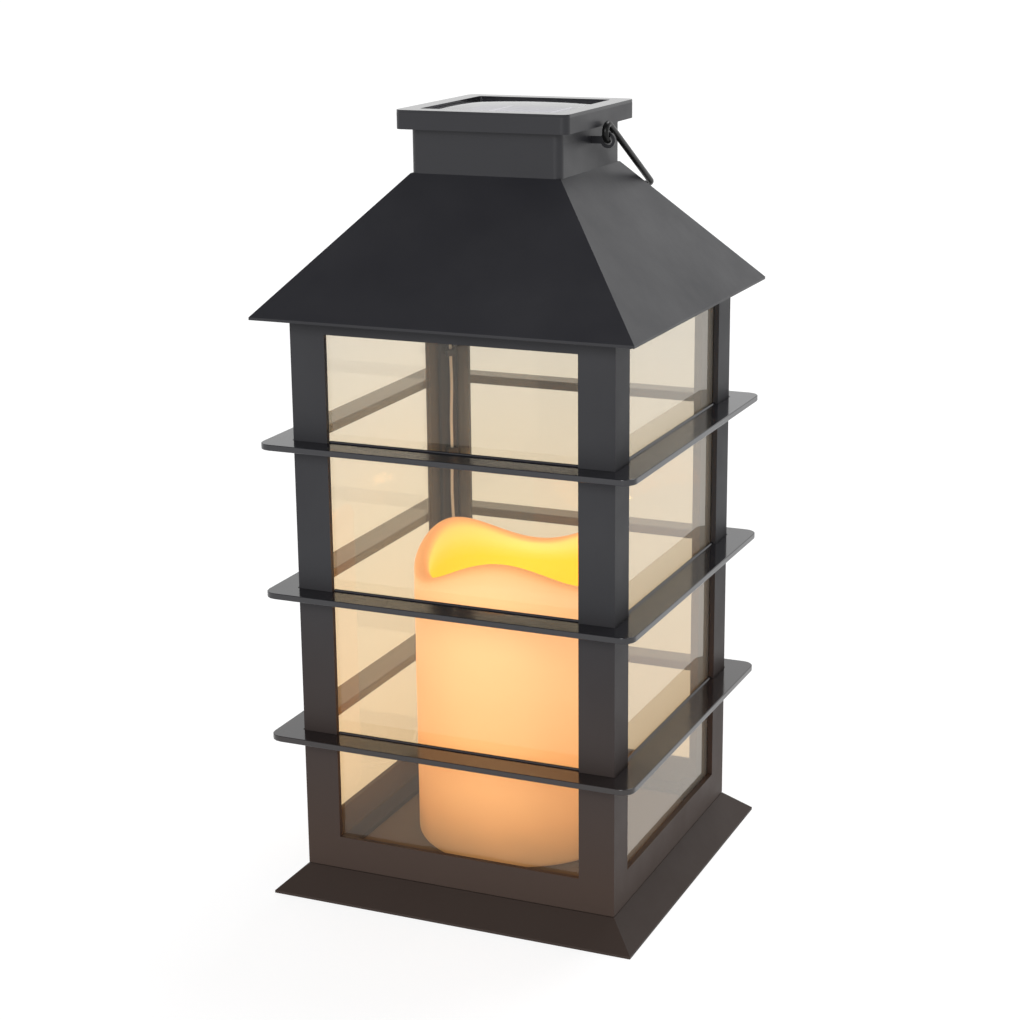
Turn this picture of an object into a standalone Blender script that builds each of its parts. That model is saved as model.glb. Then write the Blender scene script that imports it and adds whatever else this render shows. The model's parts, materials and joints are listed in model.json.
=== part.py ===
"""Solar candle lantern: a square plastic lantern with three louvre rings, four panes, a pillar
candle light, a solar cap and a wire bail.

Units are metres, +Z is up. The origin is the centre of the bottom rim. The front is -Y.
"""

import math

import bmesh
import bpy
from mathutils import Matrix, Vector

MM = 0.001
GAP = 0.3 * MM                      # clearance that neighbouring pieces keep

# Frame: four L-section posts and two rails in one moulding
BODY_HALF = 63.75 * MM
BODY_WALL = 2.0 * MM
POST_WIDTH = 14.0 * MM
WINDOW_BOTTOM = 23.5 * MM
WINDOW_TOP = 221.2 * MM
FRAME_TOP = 233.0 * MM
TOP_FLANGE_HALF = 48.0 * MM         # half width of the opening inside the top flange
BOTTOM_FLANGE_HALF = 54.0 * MM
FLANGE_THICKNESS = 2.0 * MM

# Base tray: flared skirt and floor
SKIRT_HALF = 73.9 * MM
SKIRT_TOP = 10.2 * MM
SKIRT_LIP = 1.0 * MM
RIM_WIDTH = 2.3 * MM
LIP_WALL = 3.0 * MM                 # wall of the skirt at the top of its lip
HOLLOW_INSET = 10.9 * MM            # how far the hollow's ceiling stands in from the rim
FLOOR_THICKNESS = 2.0 * MM
FRAME_BOTTOM = SKIRT_TOP + GAP

# Louvre rings
RING_HALF = 73.95 * MM
RING_THICKNESS = 2.3 * MM
RING_CORNER = 5.0 * MM
RING_LEVELS = {"lower": 64.9 * MM, "middle": 122.1 * MM, "upper": 179.5 * MM}
COLLAR_HEIGHT = 3.6 * MM
COLLAR_THICKNESS = 1.0 * MM

# Panes and the strips that hold them
PANE_OUTER = BODY_HALF - BODY_WALL - GAP
PANE_THICKNESS = 1.2 * MM
PANE_HALF_WIDTH = 58.4 * MM
PANE_BOTTOM = FRAME_BOTTOM + FLANGE_THICKNESS + GAP
PANE_TOP = FRAME_TOP - FLANGE_THICKNESS - GAP
RETAINER_INNER = 54.0 * MM
RETAINER_CHAMFER = 4.5 * MM

# Roof and neck
EAVE_HALF = 74.55 * MM
EAVE_BOTTOM = 226.9 * MM
EAVE_LIP = 1.0 * MM
ROOF_TOP = 276.7 * MM
NECK_HALF = 29.75 * MM
NECK_TOP = 292.6 * MM
NECK_CORNER = 3.0 * MM
ROOF_WALL = 2.0 * MM
NECK_OPENING_HALF = 20.0 * MM

# Solar cap
CAP_HALF = 34.0 * MM
CAP_BOTTOM = NECK_TOP + GAP
CAP_TOP = 299.9 * MM
CAP_CORNER = 3.0 * MM
PANEL_HALF = 27.0 * MM              # half width of the pocket that holds the panel
PANEL_FLOOR = 295.3 * MM
PANEL_CLEARANCE = 0.5 * MM
PANEL_BOARD_THICKNESS = 0.6 * MM
PANEL_CELL_HALF = 24.4 * MM
PANEL_CELL_THICKNESS = 0.3 * MM
PANEL_COVER_THICKNESS = 1.5 * MM    # at the corners of the cover
PANEL_COVER_CROWN = 0.9 * MM        # how far its middle rises above its corners
GASKET_WIDTH = 1.4 * MM
PANEL_LEAD_PLACE = (-12.0 * MM, 12.0 * MM)
CAP_SCREW_REACH = 1.6 * MM          # how far the cap screws bite into the cap

# Bail: round wire with an eye at each end, threaded through a ring lug on the neck
WIRE_RADIUS = 1.25 * MM
BAIL_HALF = 36.4 * MM
EYE_RADIUS = 2.9 * MM
EYE_MOUTH = math.radians(12)        # direction of the eye's free end, seen from its centre
BAIL_LENGTH = 54.5 * MM
BAIL_CORNER = 4.0 * MM
BAIL_REST_ANGLE = math.radians(-30)
LUG_HEIGHT = 287.8 * MM
LUG_HOLE = 1.8 * MM
LUG_RADIUS = 2.9 * MM
LUG_THICKNESS = 1.4 * MM
LUG_STALK_HALF = 1.3 * MM
BAIL_AXIS_HEIGHT = LUG_HEIGHT + EYE_RADIUS

# Candle shell
CANDLE_RADIUS = 42.0 * MM
CANDLE_INNER = 34.5 * MM
CANDLE_BOTTOM = SKIRT_TOP + GAP
CANDLE_TOP = 127.0 * MM             # mean height of the wavy rim
WAVE_HEIGHT = 6.0 * MM
WAVE_LOBES = 3
WAVE_PHASE = math.radians(-79.4)    # direction of the first crest
RIM_THICKNESS = 6.0 * MM
WELL_FLOOR = 84.0 * MM
WELL_UNDERSIDE = 80.0 * MM
WELL_HOLE = 5.0 * MM

# Power module, hung under the candle
MODULE_RADIUS = 32.0 * MM
MODULE_INNER = 30.2 * MM
MODULE_TOP = 31.0 * MM
MODULE_WALL = 1.8 * MM
MODULE_FLANGE_RADIUS = 40.0 * MM
MODULE_BOTTOM = 5.9 * MM
MODULE_FLANGE_TOP = SKIRT_TOP - FLOOR_THICKNESS - GAP
MODULE_SCREW_RADIUS = 36.4 * MM
COVER_RADIUS = 29.9 * MM
COVER_THICKNESS = 1.6 * MM
COVER_TOP = MODULE_BOTTOM + COVER_THICKNESS
COVER_SCREW_OFFSET = 26.0 * MM
BATTERY_BAY_HALF = 26.0 * MM
DOOR_BAY_HALF = 7.5 * MM
DOOR_THICKNESS = 1.5 * MM
DOOR_AXIS_Y = -6.4 * MM
CELL_RADIUS = 5.25 * MM
CELL_HEIGHT = 13.4 * MM             # axis height of the battery cell
CELL_START = -19.2 * MM
CELL_END = 24.3 * MM
BOARD_BOTTOM = 22.0 * MM
BOARD_THICKNESS = 1.6 * MM
BOARD_POST_OFFSET = 14.0 * MM
SWITCH_CENTRE = (12.0 * MM, 18.5 * MM)
SWITCH_TRAVEL = 3.0 * MM

# Lamp on its post
LAMP_POST_RADIUS = 4.0 * MM
LAMP_POST_BORE = 2.4 * MM
LAMP_BASE = 82.3 * MM
LAMP_RADIUS = 2.5 * MM
LAMP_HEIGHT = 9.0 * MM

# Screws
SCREW_HOLE = 1.8 * MM
SCREW_SHANK = 1.5 * MM
SCREW_HEAD = 2.8 * MM
SCREW_HEAD_HEIGHT = 1.7 * MM
SMALL_HOLE = 1.4 * MM
SMALL_SHANK = 1.1 * MM
SMALL_HEAD = 2.1 * MM
FRAME_SCREW_OFFSET = 52.5 * MM
ROOF_SCREW_OFFSET = 52.0 * MM
CAP_SCREW_OFFSET = 24.0 * MM

# Solar lead: from the cap, down one inner corner, into the power module
LEAD_RADIUS = 0.65 * MM
LEAD_RUN = 54.4 * MM                # how far along X and Y the lead runs down the corner
LEAD_FLOOR = 11.4 * MM
CLIP_LEVELS = (95.0 * MM, 150.0 * MM, 192.0 * MM)

CORNERS = ((1, 1), (-1, 1), (-1, -1), (1, -1))


# ---------------------------------------------------------------- materials

def material(name, colour, roughness, metallic=0.0, transmission=0.0):
    """A Principled BSDF material, made once for each name."""
    made = bpy.data.materials.get(name)
    if made:
        return made
    made = bpy.data.materials.new(name)
    made.use_nodes = True
    made.diffuse_color = (*colour, 1.0)
    shader = made.node_tree.nodes["Principled BSDF"]
    shader.inputs["Base Color"].default_value = (*colour, 1.0)
    shader.inputs["Roughness"].default_value = roughness
    shader.inputs["Metallic"].default_value = metallic
    shader.inputs["Transmission Weight"].default_value = transmission
    return made


def black_plastic():
    return material("black_plastic", (0.045, 0.044, 0.046), 0.42)


def clear_plastic():
    return material("clear_plastic", (0.95, 0.93, 0.86), 0.08, transmission=0.9)


def zinc_steel():
    return material("zinc_steel", (0.62, 0.62, 0.60), 0.35, metallic=1.0)


# ---------------------------------------------------------------- shape helpers

def finish(name, shape, surface, location=(0.0, 0.0, 0.0), smooth_angle=35.0):
    """Turn a bmesh into an object with outward faces and smooth round sides."""
    bmesh.ops.recalc_face_normals(shape, faces=shape.faces)
    if shape.calc_volume(signed=True) < 0.0:
        bmesh.ops.reverse_faces(shape, faces=shape.faces)
    mesh = bpy.data.meshes.new(name)
    shape.to_mesh(mesh)
    shape.free()
    mesh.shade_smooth()
    mesh.set_sharp_from_angle(angle=math.radians(smooth_angle))
    made = bpy.data.objects.new(name, mesh)
    made.location = location
    bpy.context.collection.objects.link(made)
    if surface:
        mesh.materials.append(surface)
    return made


def box(x_range, y_range, z_range):
    """A cuboid between the given limits."""
    shape = bmesh.new()
    sizes = [high - low for low, high in (x_range, y_range, z_range)]
    centre = [(high + low) / 2 for low, high in (x_range, y_range, z_range)]
    matrix = Matrix.Translation(centre) @ Matrix.Diagonal((*sizes, 1.0))
    bmesh.ops.create_cube(shape, size=1.0, matrix=matrix)
    return shape


def prism(outline, bottom, top):
    """An outline in X and Y, extruded upwards."""
    shape = bmesh.new()
    base = shape.faces.new([shape.verts.new((x, y, bottom)) for x, y in outline])
    lifted = bmesh.ops.extrude_face_region(shape, geom=[base])["geom"]
    tops = [item for item in lifted if isinstance(item, bmesh.types.BMVert)]
    bmesh.ops.translate(shape, verts=tops, vec=(0.0, 0.0, top - bottom))
    return shape


def domed_plate(half, bottom, corner_top, crown_top, steps=12):
    """A square plate whose top rises as a shallow dome from its corners to its middle."""
    shape = bmesh.new()
    places = [half * (2 * step / steps - 1) for step in range(steps + 1)]
    fall = (crown_top - corner_top) / (2 * half * half)
    top = [[shape.verts.new((x, y, crown_top - fall * (x * x + y * y))) for x in places] for y in places]
    for near, far in zip(top, top[1:]):
        for left in range(steps):
            shape.faces.new((near[left], near[left + 1], far[left + 1], far[left]))
    bmesh.ops.triangulate(shape, faces=shape.faces)
    sides = [top[0], [row[-1] for row in top], top[-1][::-1], [row[0] for row in top][::-1]]
    feet = [shape.verts.new((side[0].co.x, side[0].co.y, bottom)) for side in sides]
    for index, side in enumerate(sides):
        shape.faces.new((feet[index], feet[(index + 1) % 4], *reversed(side)))
    shape.faces.new(feet[::-1])
    return shape


def rounded_square(half, radius, steps=4):
    """Outline of a square with round corners, anticlockwise."""
    outline = []
    for quarter, (x_sign, y_sign) in enumerate(CORNERS):
        centre_x = x_sign * (half - radius)
        centre_y = y_sign * (half - radius)
        for step in range(steps + 1):
            angle = math.radians(90 * (quarter + step / steps))
            outline.append((centre_x + radius * math.cos(angle), centre_y + radius * math.sin(angle)))
    return outline


def turned(profile, sides, centre=(0.0, 0.0), flat_sides=False):
    """A profile of (radius, height) pairs, spun about a vertical axis.

    With flat_sides the radius is measured to the middle of each side, so four sides give a square.
    """
    shape = bmesh.new()
    start = Matrix.Rotation(math.pi / sides, 3, "Z")
    scale = 1.0 / math.cos(math.pi / sides) if flat_sides else 1.0
    points = [shape.verts.new(start @ Vector((radius * scale, 0.0, height))) for radius, height in profile]
    on_axis = profile[0][0] == 0.0 and profile[-1][0] == 0.0
    pairs = list(zip(points, points[1:]))
    if not on_axis:
        pairs.append((points[-1], points[0]))
    edges = [shape.edges.new(pair) for pair in pairs]
    bmesh.ops.spin(shape, geom=points + edges, cent=(0, 0, 0), axis=(0, 0, 1), dvec=(0, 0, 0),
                   angle=math.tau, steps=sides, use_merge=True, use_duplicate=False)
    bmesh.ops.remove_doubles(shape, verts=shape.verts, dist=1e-7)
    bmesh.ops.translate(shape, verts=shape.verts, vec=(centre[0], centre[1], 0.0))
    return shape


def cylinder(radius, bottom, top, centre=(0.0, 0.0), sides=20):
    return turned([(0.0, bottom), (radius, bottom), (radius, top), (0.0, top)], sides, centre)


def laid_down(shape, axis):
    """Turn a shape built along Z so that it lies along X or Y instead."""
    if axis == "X":
        turn = Matrix.Rotation(math.radians(90), 3, "Y")
    else:
        turn = Matrix.Rotation(math.radians(-90), 3, "X")
    bmesh.ops.rotate(shape, cent=(0, 0, 0), matrix=turn, verts=shape.verts)
    return shape


def moved(shape, offset):
    bmesh.ops.translate(shape, verts=shape.verts, vec=offset)
    return shape


def turned_about_z(shape, angle):
    bmesh.ops.rotate(shape, cent=(0, 0, 0), matrix=Matrix.Rotation(angle, 3, "Z"), verts=shape.verts)
    return shape


def combine(target, shapes, operation, solver):
    """Boolean each shape with the target and keep the result as the target's own mesh."""
    for shape in shapes:
        tool = finish("tool", shape, None)
        modifier = target.modifiers.new("boolean", "BOOLEAN")
        modifier.operation = operation
        modifier.solver = solver
        modifier.object = tool
        evaluated = target.evaluated_get(bpy.context.evaluated_depsgraph_get())
        mesh = bpy.data.meshes.new_from_object(evaluated)
        target.modifiers.clear()
        old_mesh = target.data
        target.data = mesh
        bpy.data.meshes.remove(old_mesh)
        mesh.name = target.name
        bpy.data.objects.remove(tool)
    target.data.set_sharp_from_angle(angle=math.radians(35.0))
    return target


def cut(target, *shapes, solver="EXACT"):
    return combine(target, shapes, "DIFFERENCE", solver)


def join(target, *shapes, solver="EXACT"):
    return combine(target, shapes, "UNION", solver)


def repeated(name, shapes, surface):
    """Make each shape an object of its own, numbered from 1."""
    return [finish(f"{name}_{index}", shape, surface) for index, shape in enumerate(shapes, 1)]


def wire(name, route, radius, surface, resolution=2):
    """A round wire along a route, with filled ends."""
    curve = bpy.data.curves.new(name, "CURVE")
    curve.dimensions = "3D"
    curve.bevel_depth = radius
    curve.bevel_resolution = resolution
    curve.use_fill_caps = True
    spline = curve.splines.new("POLY")
    spline.points.add(len(route) - 1)
    for point, place in zip(spline.points, route):
        point.co = (*place, 1.0)
    curve.materials.append(surface)
    made = bpy.data.objects.new(name, curve)
    bpy.context.collection.objects.link(made)
    return made


def screw(centre, head_bottom, tip, head_radius, shank_radius):
    """A pan-head screw that points up."""
    x, y = centre
    head_top = head_bottom + SCREW_HEAD_HEIGHT
    profile = [
        (0.0, head_bottom),
        (head_radius * 0.7, head_bottom),
        (head_radius, head_bottom + SCREW_HEAD_HEIGHT * 0.45),
        (head_radius, head_top),
        (shank_radius, head_top),
        (shank_radius, tip - shank_radius),
        (0.0, tip),
    ]
    return turned(profile, 10, (x, y))


def smooth_route(points, samples_per_span):
    """Catmull-Rom curve through the points."""
    vectors = [Vector(point) for point in points]
    ends = [2 * vectors[0] - vectors[1]] + vectors + [2 * vectors[-1] - vectors[-2]]
    route = []
    for before, start, end, after in zip(ends, ends[1:], ends[2:], ends[3:]):
        for step in range(samples_per_span):
            t = step / samples_per_span
            route.append(0.5 * (2 * start + (end - before) * t
                                + (2 * before - 5 * start + 4 * end - after) * t ** 2
                                + (3 * start - before - 3 * end + after) * t ** 3))
    route.append(vectors[-1])
    return route


def on_circle(count, radius, start_angle=0.0):
    angles = [start_angle + math.tau * index / count for index in range(count)]
    return [(radius * math.cos(angle), radius * math.sin(angle)) for angle in angles]


# ---------------------------------------------------------------- housing

def base_tray():
    """Flared skirt with the lantern's floor, hollow below, with a hole for the power module."""
    floor_bottom = SKIRT_TOP - FLOOR_THICKNESS
    profile = [
        (0.0, floor_bottom),
        (SKIRT_HALF - HOLLOW_INSET, floor_bottom),
        (SKIRT_HALF - LIP_WALL, SKIRT_LIP),
        (SKIRT_HALF - RIM_WIDTH, 0.0),
        (SKIRT_HALF, 0.0),
        (SKIRT_HALF, SKIRT_LIP),
        (BODY_HALF, SKIRT_TOP),
        (0.0, SKIRT_TOP),
    ]
    tray = finish("base_tray", turned(profile, 4, flat_sides=True), black_plastic())
    below = floor_bottom - 1 * MM
    above = SKIRT_TOP + 1 * MM
    holes = [cylinder(MODULE_RADIUS + 0.6 * MM, below, above, sides=48)]
    for x_sign, y_sign in CORNERS:
        place = (x_sign * FRAME_SCREW_OFFSET, y_sign * FRAME_SCREW_OFFSET)
        holes.append(cylinder(SCREW_HOLE, below, above, place, sides=16))
    for place in on_circle(3, MODULE_SCREW_RADIUS, math.radians(90)):
        holes.append(cylinder(SCREW_HOLE, below, above, place, sides=16))
    return cut(tray, *holes)


def body_frame():
    """Four L-section posts between a top and a bottom rail, with inward flanges."""
    inner = BODY_HALF - BODY_WALL
    flange_low = FRAME_BOTTOM + FLANGE_THICKNESS
    flange_high = FRAME_TOP - FLANGE_THICKNESS
    profile = [
        (BODY_HALF, FRAME_BOTTOM),
        (BODY_HALF, FRAME_TOP),
        (TOP_FLANGE_HALF, FRAME_TOP),
        (TOP_FLANGE_HALF, flange_high),
        (inner, flange_high),
        (inner, flange_low),
        (BOTTOM_FLANGE_HALF, flange_low),
        (BOTTOM_FLANGE_HALF, FRAME_BOTTOM),
    ]
    frame = finish("body_frame", turned(profile, 4, flat_sides=True), black_plastic())
    boss_top = FRAME_BOTTOM + 7.5 * MM
    bosses = []
    cuts = []
    for x_sign, y_sign in CORNERS:
        place = (x_sign * FRAME_SCREW_OFFSET, y_sign * FRAME_SCREW_OFFSET)
        bosses.append(cylinder(SCREW_HOLE * 2, FRAME_BOTTOM, boss_top, place))
        cuts.append(cylinder(SCREW_HOLE, FRAME_BOTTOM - 1 * MM, boss_top - 1.0 * MM, place, sides=16))
        place = (x_sign * ROOF_SCREW_OFFSET, y_sign * ROOF_SCREW_OFFSET)
        cuts.append(cylinder(SCREW_HOLE, flange_high - 1 * MM, FRAME_TOP + 1 * MM, place, sides=16))
    join(frame, *bosses, solver="MANIFOLD")
    window = (-(BODY_HALF - POST_WIDTH), BODY_HALF - POST_WIDTH)
    across = (-BODY_HALF - 1 * MM, BODY_HALF + 1 * MM)
    heights = (WINDOW_BOTTOM, WINDOW_TOP)
    windows = [box(window, across, heights), box(across, window, heights)]
    return cut(frame, *cuts, *windows, solver="MANIFOLD")


def louvre_ring(position, level):
    """A flat ring round the posts that reaches in through each window to the pane."""
    half_thickness = RING_THICKNESS / 2
    low = -half_thickness
    ring = finish(f"louvre_ring_{position}",
                  prism(rounded_square(RING_HALF, RING_CORNER), low, half_thickness),
                  black_plastic(), (0.0, 0.0, level))
    inner = BODY_HALF - BODY_WALL
    shelf_half = BODY_HALF - POST_WIDTH - GAP
    below_and_above = (-COLLAR_HEIGHT, COLLAR_HEIGHT)
    collar = (-COLLAR_HEIGHT / 2, COLLAR_HEIGHT / 2)
    collars = []
    for side in range(4):
        lip = box((-shelf_half - 1 * MM, shelf_half + 1 * MM),
                  (inner - 1 * MM, inner + COLLAR_THICKNESS), collar)
        collars.append(moved(turned_about_z(lip, side * math.pi / 2), (0, 0, level)))
    join(ring, *collars)
    cuts = [box((-inner, inner), (-inner, inner), below_and_above)]
    post = (shelf_half, BODY_HALF + GAP)
    for side in range(4):
        cuts.append(turned_about_z(box(post, post, below_and_above), side * math.pi / 2))
    return cut(ring, *[moved(shape, (0, 0, level)) for shape in cuts])


def window_pane(side, angle):
    """A clear sheet behind one window."""
    pane = box((-PANE_HALF_WIDTH, PANE_HALF_WIDTH),
               (-PANE_OUTER, -PANE_OUTER + PANE_THICKNESS), (PANE_BOTTOM, PANE_TOP))
    return finish(f"window_pane_{side}", turned_about_z(pane, angle), clear_plastic())


def corner_retainer(corner, angle):
    """A chamfered strip in an inner corner that holds the edges of two panes."""
    back = PANE_OUTER - PANE_THICKNESS - 0.35 * MM
    chamfer_end = RETAINER_INNER + RETAINER_CHAMFER
    outline = [
        (back, RETAINER_INNER),
        (back, back),
        (RETAINER_INNER, back),
        (RETAINER_INNER, chamfer_end),
        (chamfer_end, RETAINER_INNER),
    ]
    strip = turned_about_z(prism(outline, PANE_BOTTOM, PANE_TOP), angle)
    return finish(f"corner_retainer_{corner}", strip, black_plastic())


def roof_shell():
    """Hollow hipped roof and neck in one moulding, with screw bosses and two ring lugs."""
    slope = (EAVE_HALF - NECK_HALF) / (ROOF_TOP - EAVE_BOTTOM - EAVE_LIP)
    wall = ROOF_WALL * math.hypot(1.0, slope)
    inner_neck = NECK_HALF - ROOF_WALL
    eave_top = EAVE_BOTTOM + EAVE_LIP
    inner_top = eave_top + (EAVE_HALF - wall - inner_neck) / slope
    profile = [
        (EAVE_HALF, EAVE_BOTTOM),
        (EAVE_HALF, eave_top),
        (NECK_HALF, ROOF_TOP),
        (inner_neck, ROOF_TOP),
        (inner_neck, inner_top),
        (EAVE_HALF - wall, eave_top),
        (EAVE_HALF - wall, EAVE_BOTTOM),
    ]
    roof = finish("roof_shell", turned(profile, 4, flat_sides=True), black_plastic())

    neck_low = inner_top + 0.2 * MM
    lugs = []
    lug_holes = []
    for sign in (1, -1):
        ring = laid_down(cylinder(LUG_RADIUS, -LUG_THICKNESS / 2, LUG_THICKNESS / 2, sides=24), "Y")
        lugs.append(moved(ring, (sign * BAIL_HALF, 0, LUG_HEIGHT)))
        stalk_ends = sorted((sign * (NECK_HALF - 0.8 * MM), sign * (BAIL_HALF - LUG_HOLE - 0.4 * MM)))
        lugs.append(box(stalk_ends, (-LUG_THICKNESS / 2, LUG_THICKNESS / 2),
                        (LUG_HEIGHT - LUG_STALK_HALF, LUG_HEIGHT + LUG_STALK_HALF)))
        hole = laid_down(cylinder(LUG_HOLE, -5 * MM, 5 * MM, sides=24), "Y")
        lug_holes.append(moved(hole, (sign * BAIL_HALF, 0, LUG_HEIGHT)))
    neck_outer = prism(rounded_square(NECK_HALF, NECK_CORNER), neck_low, NECK_TOP)
    neck_bore = prism(rounded_square(inner_neck, NECK_CORNER - ROOF_WALL), neck_low - 1 * MM,
                      NECK_TOP - ROOF_WALL)
    join(roof, neck_outer, solver="MANIFOLD")
    cut(roof, neck_bore, solver="MANIFOLD")

    bosses = []
    holes = []
    for x_sign, y_sign in CORNERS:
        place = (x_sign * ROOF_SCREW_OFFSET, y_sign * ROOF_SCREW_OFFSET)
        bosses.append(cylinder(SCREW_HOLE * 1.8, FRAME_TOP + GAP, 248.9 * MM, place))
        holes.append(cylinder(SCREW_HOLE, FRAME_TOP - 1 * MM, FRAME_TOP + 11 * MM, place, sides=16))
        place = (x_sign * CAP_SCREW_OFFSET, y_sign * CAP_SCREW_OFFSET)
        holes.append(cylinder(SCREW_HOLE, NECK_TOP - 4 * MM, NECK_TOP + 1 * MM, place, sides=16))
    opening = (-NECK_OPENING_HALF, NECK_OPENING_HALF)
    holes.append(box(opening, opening, (NECK_TOP - 4 * MM, NECK_TOP + 1 * MM)))
    join(roof, *bosses, *lugs, solver="MANIFOLD")
    return cut(roof, *holes, *lug_holes, solver="MANIFOLD")


# ---------------------------------------------------------------- solar cap

def cap_bezel():
    """Square cap with a pocket for the solar panel and a hole for its lead."""
    cap = finish("cap_bezel", prism(rounded_square(CAP_HALF, CAP_CORNER), CAP_BOTTOM, CAP_TOP),
                 black_plastic())
    cuts = [prism(rounded_square(PANEL_HALF, 1.0 * MM), PANEL_FLOOR, CAP_TOP + 1 * MM),
            cylinder(2.0 * MM, CAP_BOTTOM - 1 * MM, PANEL_FLOOR + 1 * MM, PANEL_LEAD_PLACE, sides=16)]
    for x_sign, y_sign in CORNERS:
        place = (x_sign * CAP_SCREW_OFFSET, y_sign * CAP_SCREW_OFFSET)
        cuts.append(cylinder(SCREW_HOLE, CAP_BOTTOM - 1 * MM, CAP_BOTTOM + CAP_SCREW_REACH + GAP, place,
                             sides=16))
    return cut(cap, *cuts)


def solar_panel():
    """Backing board, silicon cells, gasket and domed clear cover, stacked in the pocket."""
    board_bottom = PANEL_FLOOR + GAP
    board_top = board_bottom + PANEL_BOARD_THICKNESS
    edge = PANEL_HALF - PANEL_CLEARANCE
    finish("solar_board", box((-edge, edge), (-edge, edge), (board_bottom, board_top)),
           material("panel_board", (0.10, 0.11, 0.10), 0.6))
    cell_bottom = board_top + GAP
    cell_top = cell_bottom + PANEL_CELL_THICKNESS
    cell = (-PANEL_CELL_HALF, PANEL_CELL_HALF)
    finish("solar_cell", box(cell, cell, (cell_bottom, cell_top)),
           material("silicon", (0.02, 0.015, 0.05), 0.2))
    gasket = finish("panel_gasket", box((-edge, edge), (-edge, edge), (cell_bottom, cell_top)),
                    material("black_rubber", (0.02, 0.02, 0.02), 0.8))
    inside = (-edge + GASKET_WIDTH, edge - GASKET_WIDTH)
    cut(gasket, box(inside, inside, (cell_bottom - 1 * MM, cell_top + 1 * MM)))
    cover_bottom = cell_top + GAP
    cover_corner = cover_bottom + PANEL_COVER_THICKNESS
    finish("panel_cover", domed_plate(edge, cover_bottom, cover_corner, cover_corner + PANEL_COVER_CROWN),
           clear_plastic())


# ---------------------------------------------------------------- bail

def bail_route():
    """Centre line of the bail: each arm runs along +Y off the top of its eye, and the axis is X."""
    eye_steps = 20
    right = []
    for step in range(eye_steps + 1):
        angle = EYE_MOUTH - (math.radians(270) + EYE_MOUTH) * step / eye_steps
        right.append(Vector((BAIL_HALF, EYE_RADIUS * math.cos(angle), EYE_RADIUS * math.sin(angle))))
    bend_steps = 6
    for step in range(bend_steps + 1):
        angle = math.radians(90 * step / bend_steps)
        right.append(Vector((BAIL_HALF - BAIL_CORNER + BAIL_CORNER * math.cos(angle),
                             BAIL_LENGTH - BAIL_CORNER + BAIL_CORNER * math.sin(angle), EYE_RADIUS)))
    left = [Vector((-point.x, point.y, point.z)) for point in reversed(right)]
    return right + left


def bail_handle():
    """Wire bail, hung on the two ring lugs and folded back onto the roof."""
    bail = wire("bail_handle", bail_route(), WIRE_RADIUS,
                material("black_wire", (0.02, 0.02, 0.02), 0.25, metallic=0.6), resolution=3)
    bail.location = (0.0, 0.0, BAIL_AXIS_HEIGHT)
    bail.rotation_euler = (BAIL_REST_ANGLE, 0.0, 0.0)


# ---------------------------------------------------------------- candle and lamp

def candle_shell():
    """Hollow pillar candle with a wavy round rim and a well round the lamp."""
    lip = RIM_THICKNESS / 2
    lip_centre = CANDLE_RADIUS - lip
    profile = [
        (CANDLE_INNER, CANDLE_BOTTOM),
        (CANDLE_RADIUS - 2.0 * MM, CANDLE_BOTTOM),
        (CANDLE_RADIUS - 0.6 * MM, CANDLE_BOTTOM + 0.7 * MM),
        (CANDLE_RADIUS, CANDLE_BOTTOM + 2.5 * MM),
    ]
    for step in range(7):
        angle = math.radians(30 * step)
        profile.append((lip_centre + lip * math.cos(angle), CANDLE_TOP - lip + lip * math.sin(angle)))
    well_wall = CANDLE_RADIUS - RIM_THICKNESS
    profile += [
        (well_wall, WELL_FLOOR + 8.0 * MM),
        (well_wall - 2.5 * MM, WELL_FLOOR + 2.5 * MM),
        (well_wall - 8.0 * MM, WELL_FLOOR),
        (WELL_HOLE, WELL_FLOOR),
        (WELL_HOLE, WELL_UNDERSIDE),
        (CANDLE_INNER, WELL_UNDERSIDE),
    ]
    shape = turned(profile, 48)
    wave_start = WELL_FLOOR + 20.0 * MM
    for vertex in shape.verts:
        if vertex.co.z > wave_start:
            angle = math.atan2(vertex.co.y, vertex.co.x)
            vertex.co.z += WAVE_HEIGHT * math.cos(WAVE_LOBES * (angle - WAVE_PHASE))
    candle = finish("candle_shell", shape, material("wax", (0.95, 0.72, 0.45), 0.55))
    notch = moved(turned_about_z(laid_down(cylinder(1.5 * MM, 30 * MM, 50 * MM, sides=16), "X"),
                                 math.radians(135)), (0, 0, LEAD_FLOOR))
    return cut(candle, notch)


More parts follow.
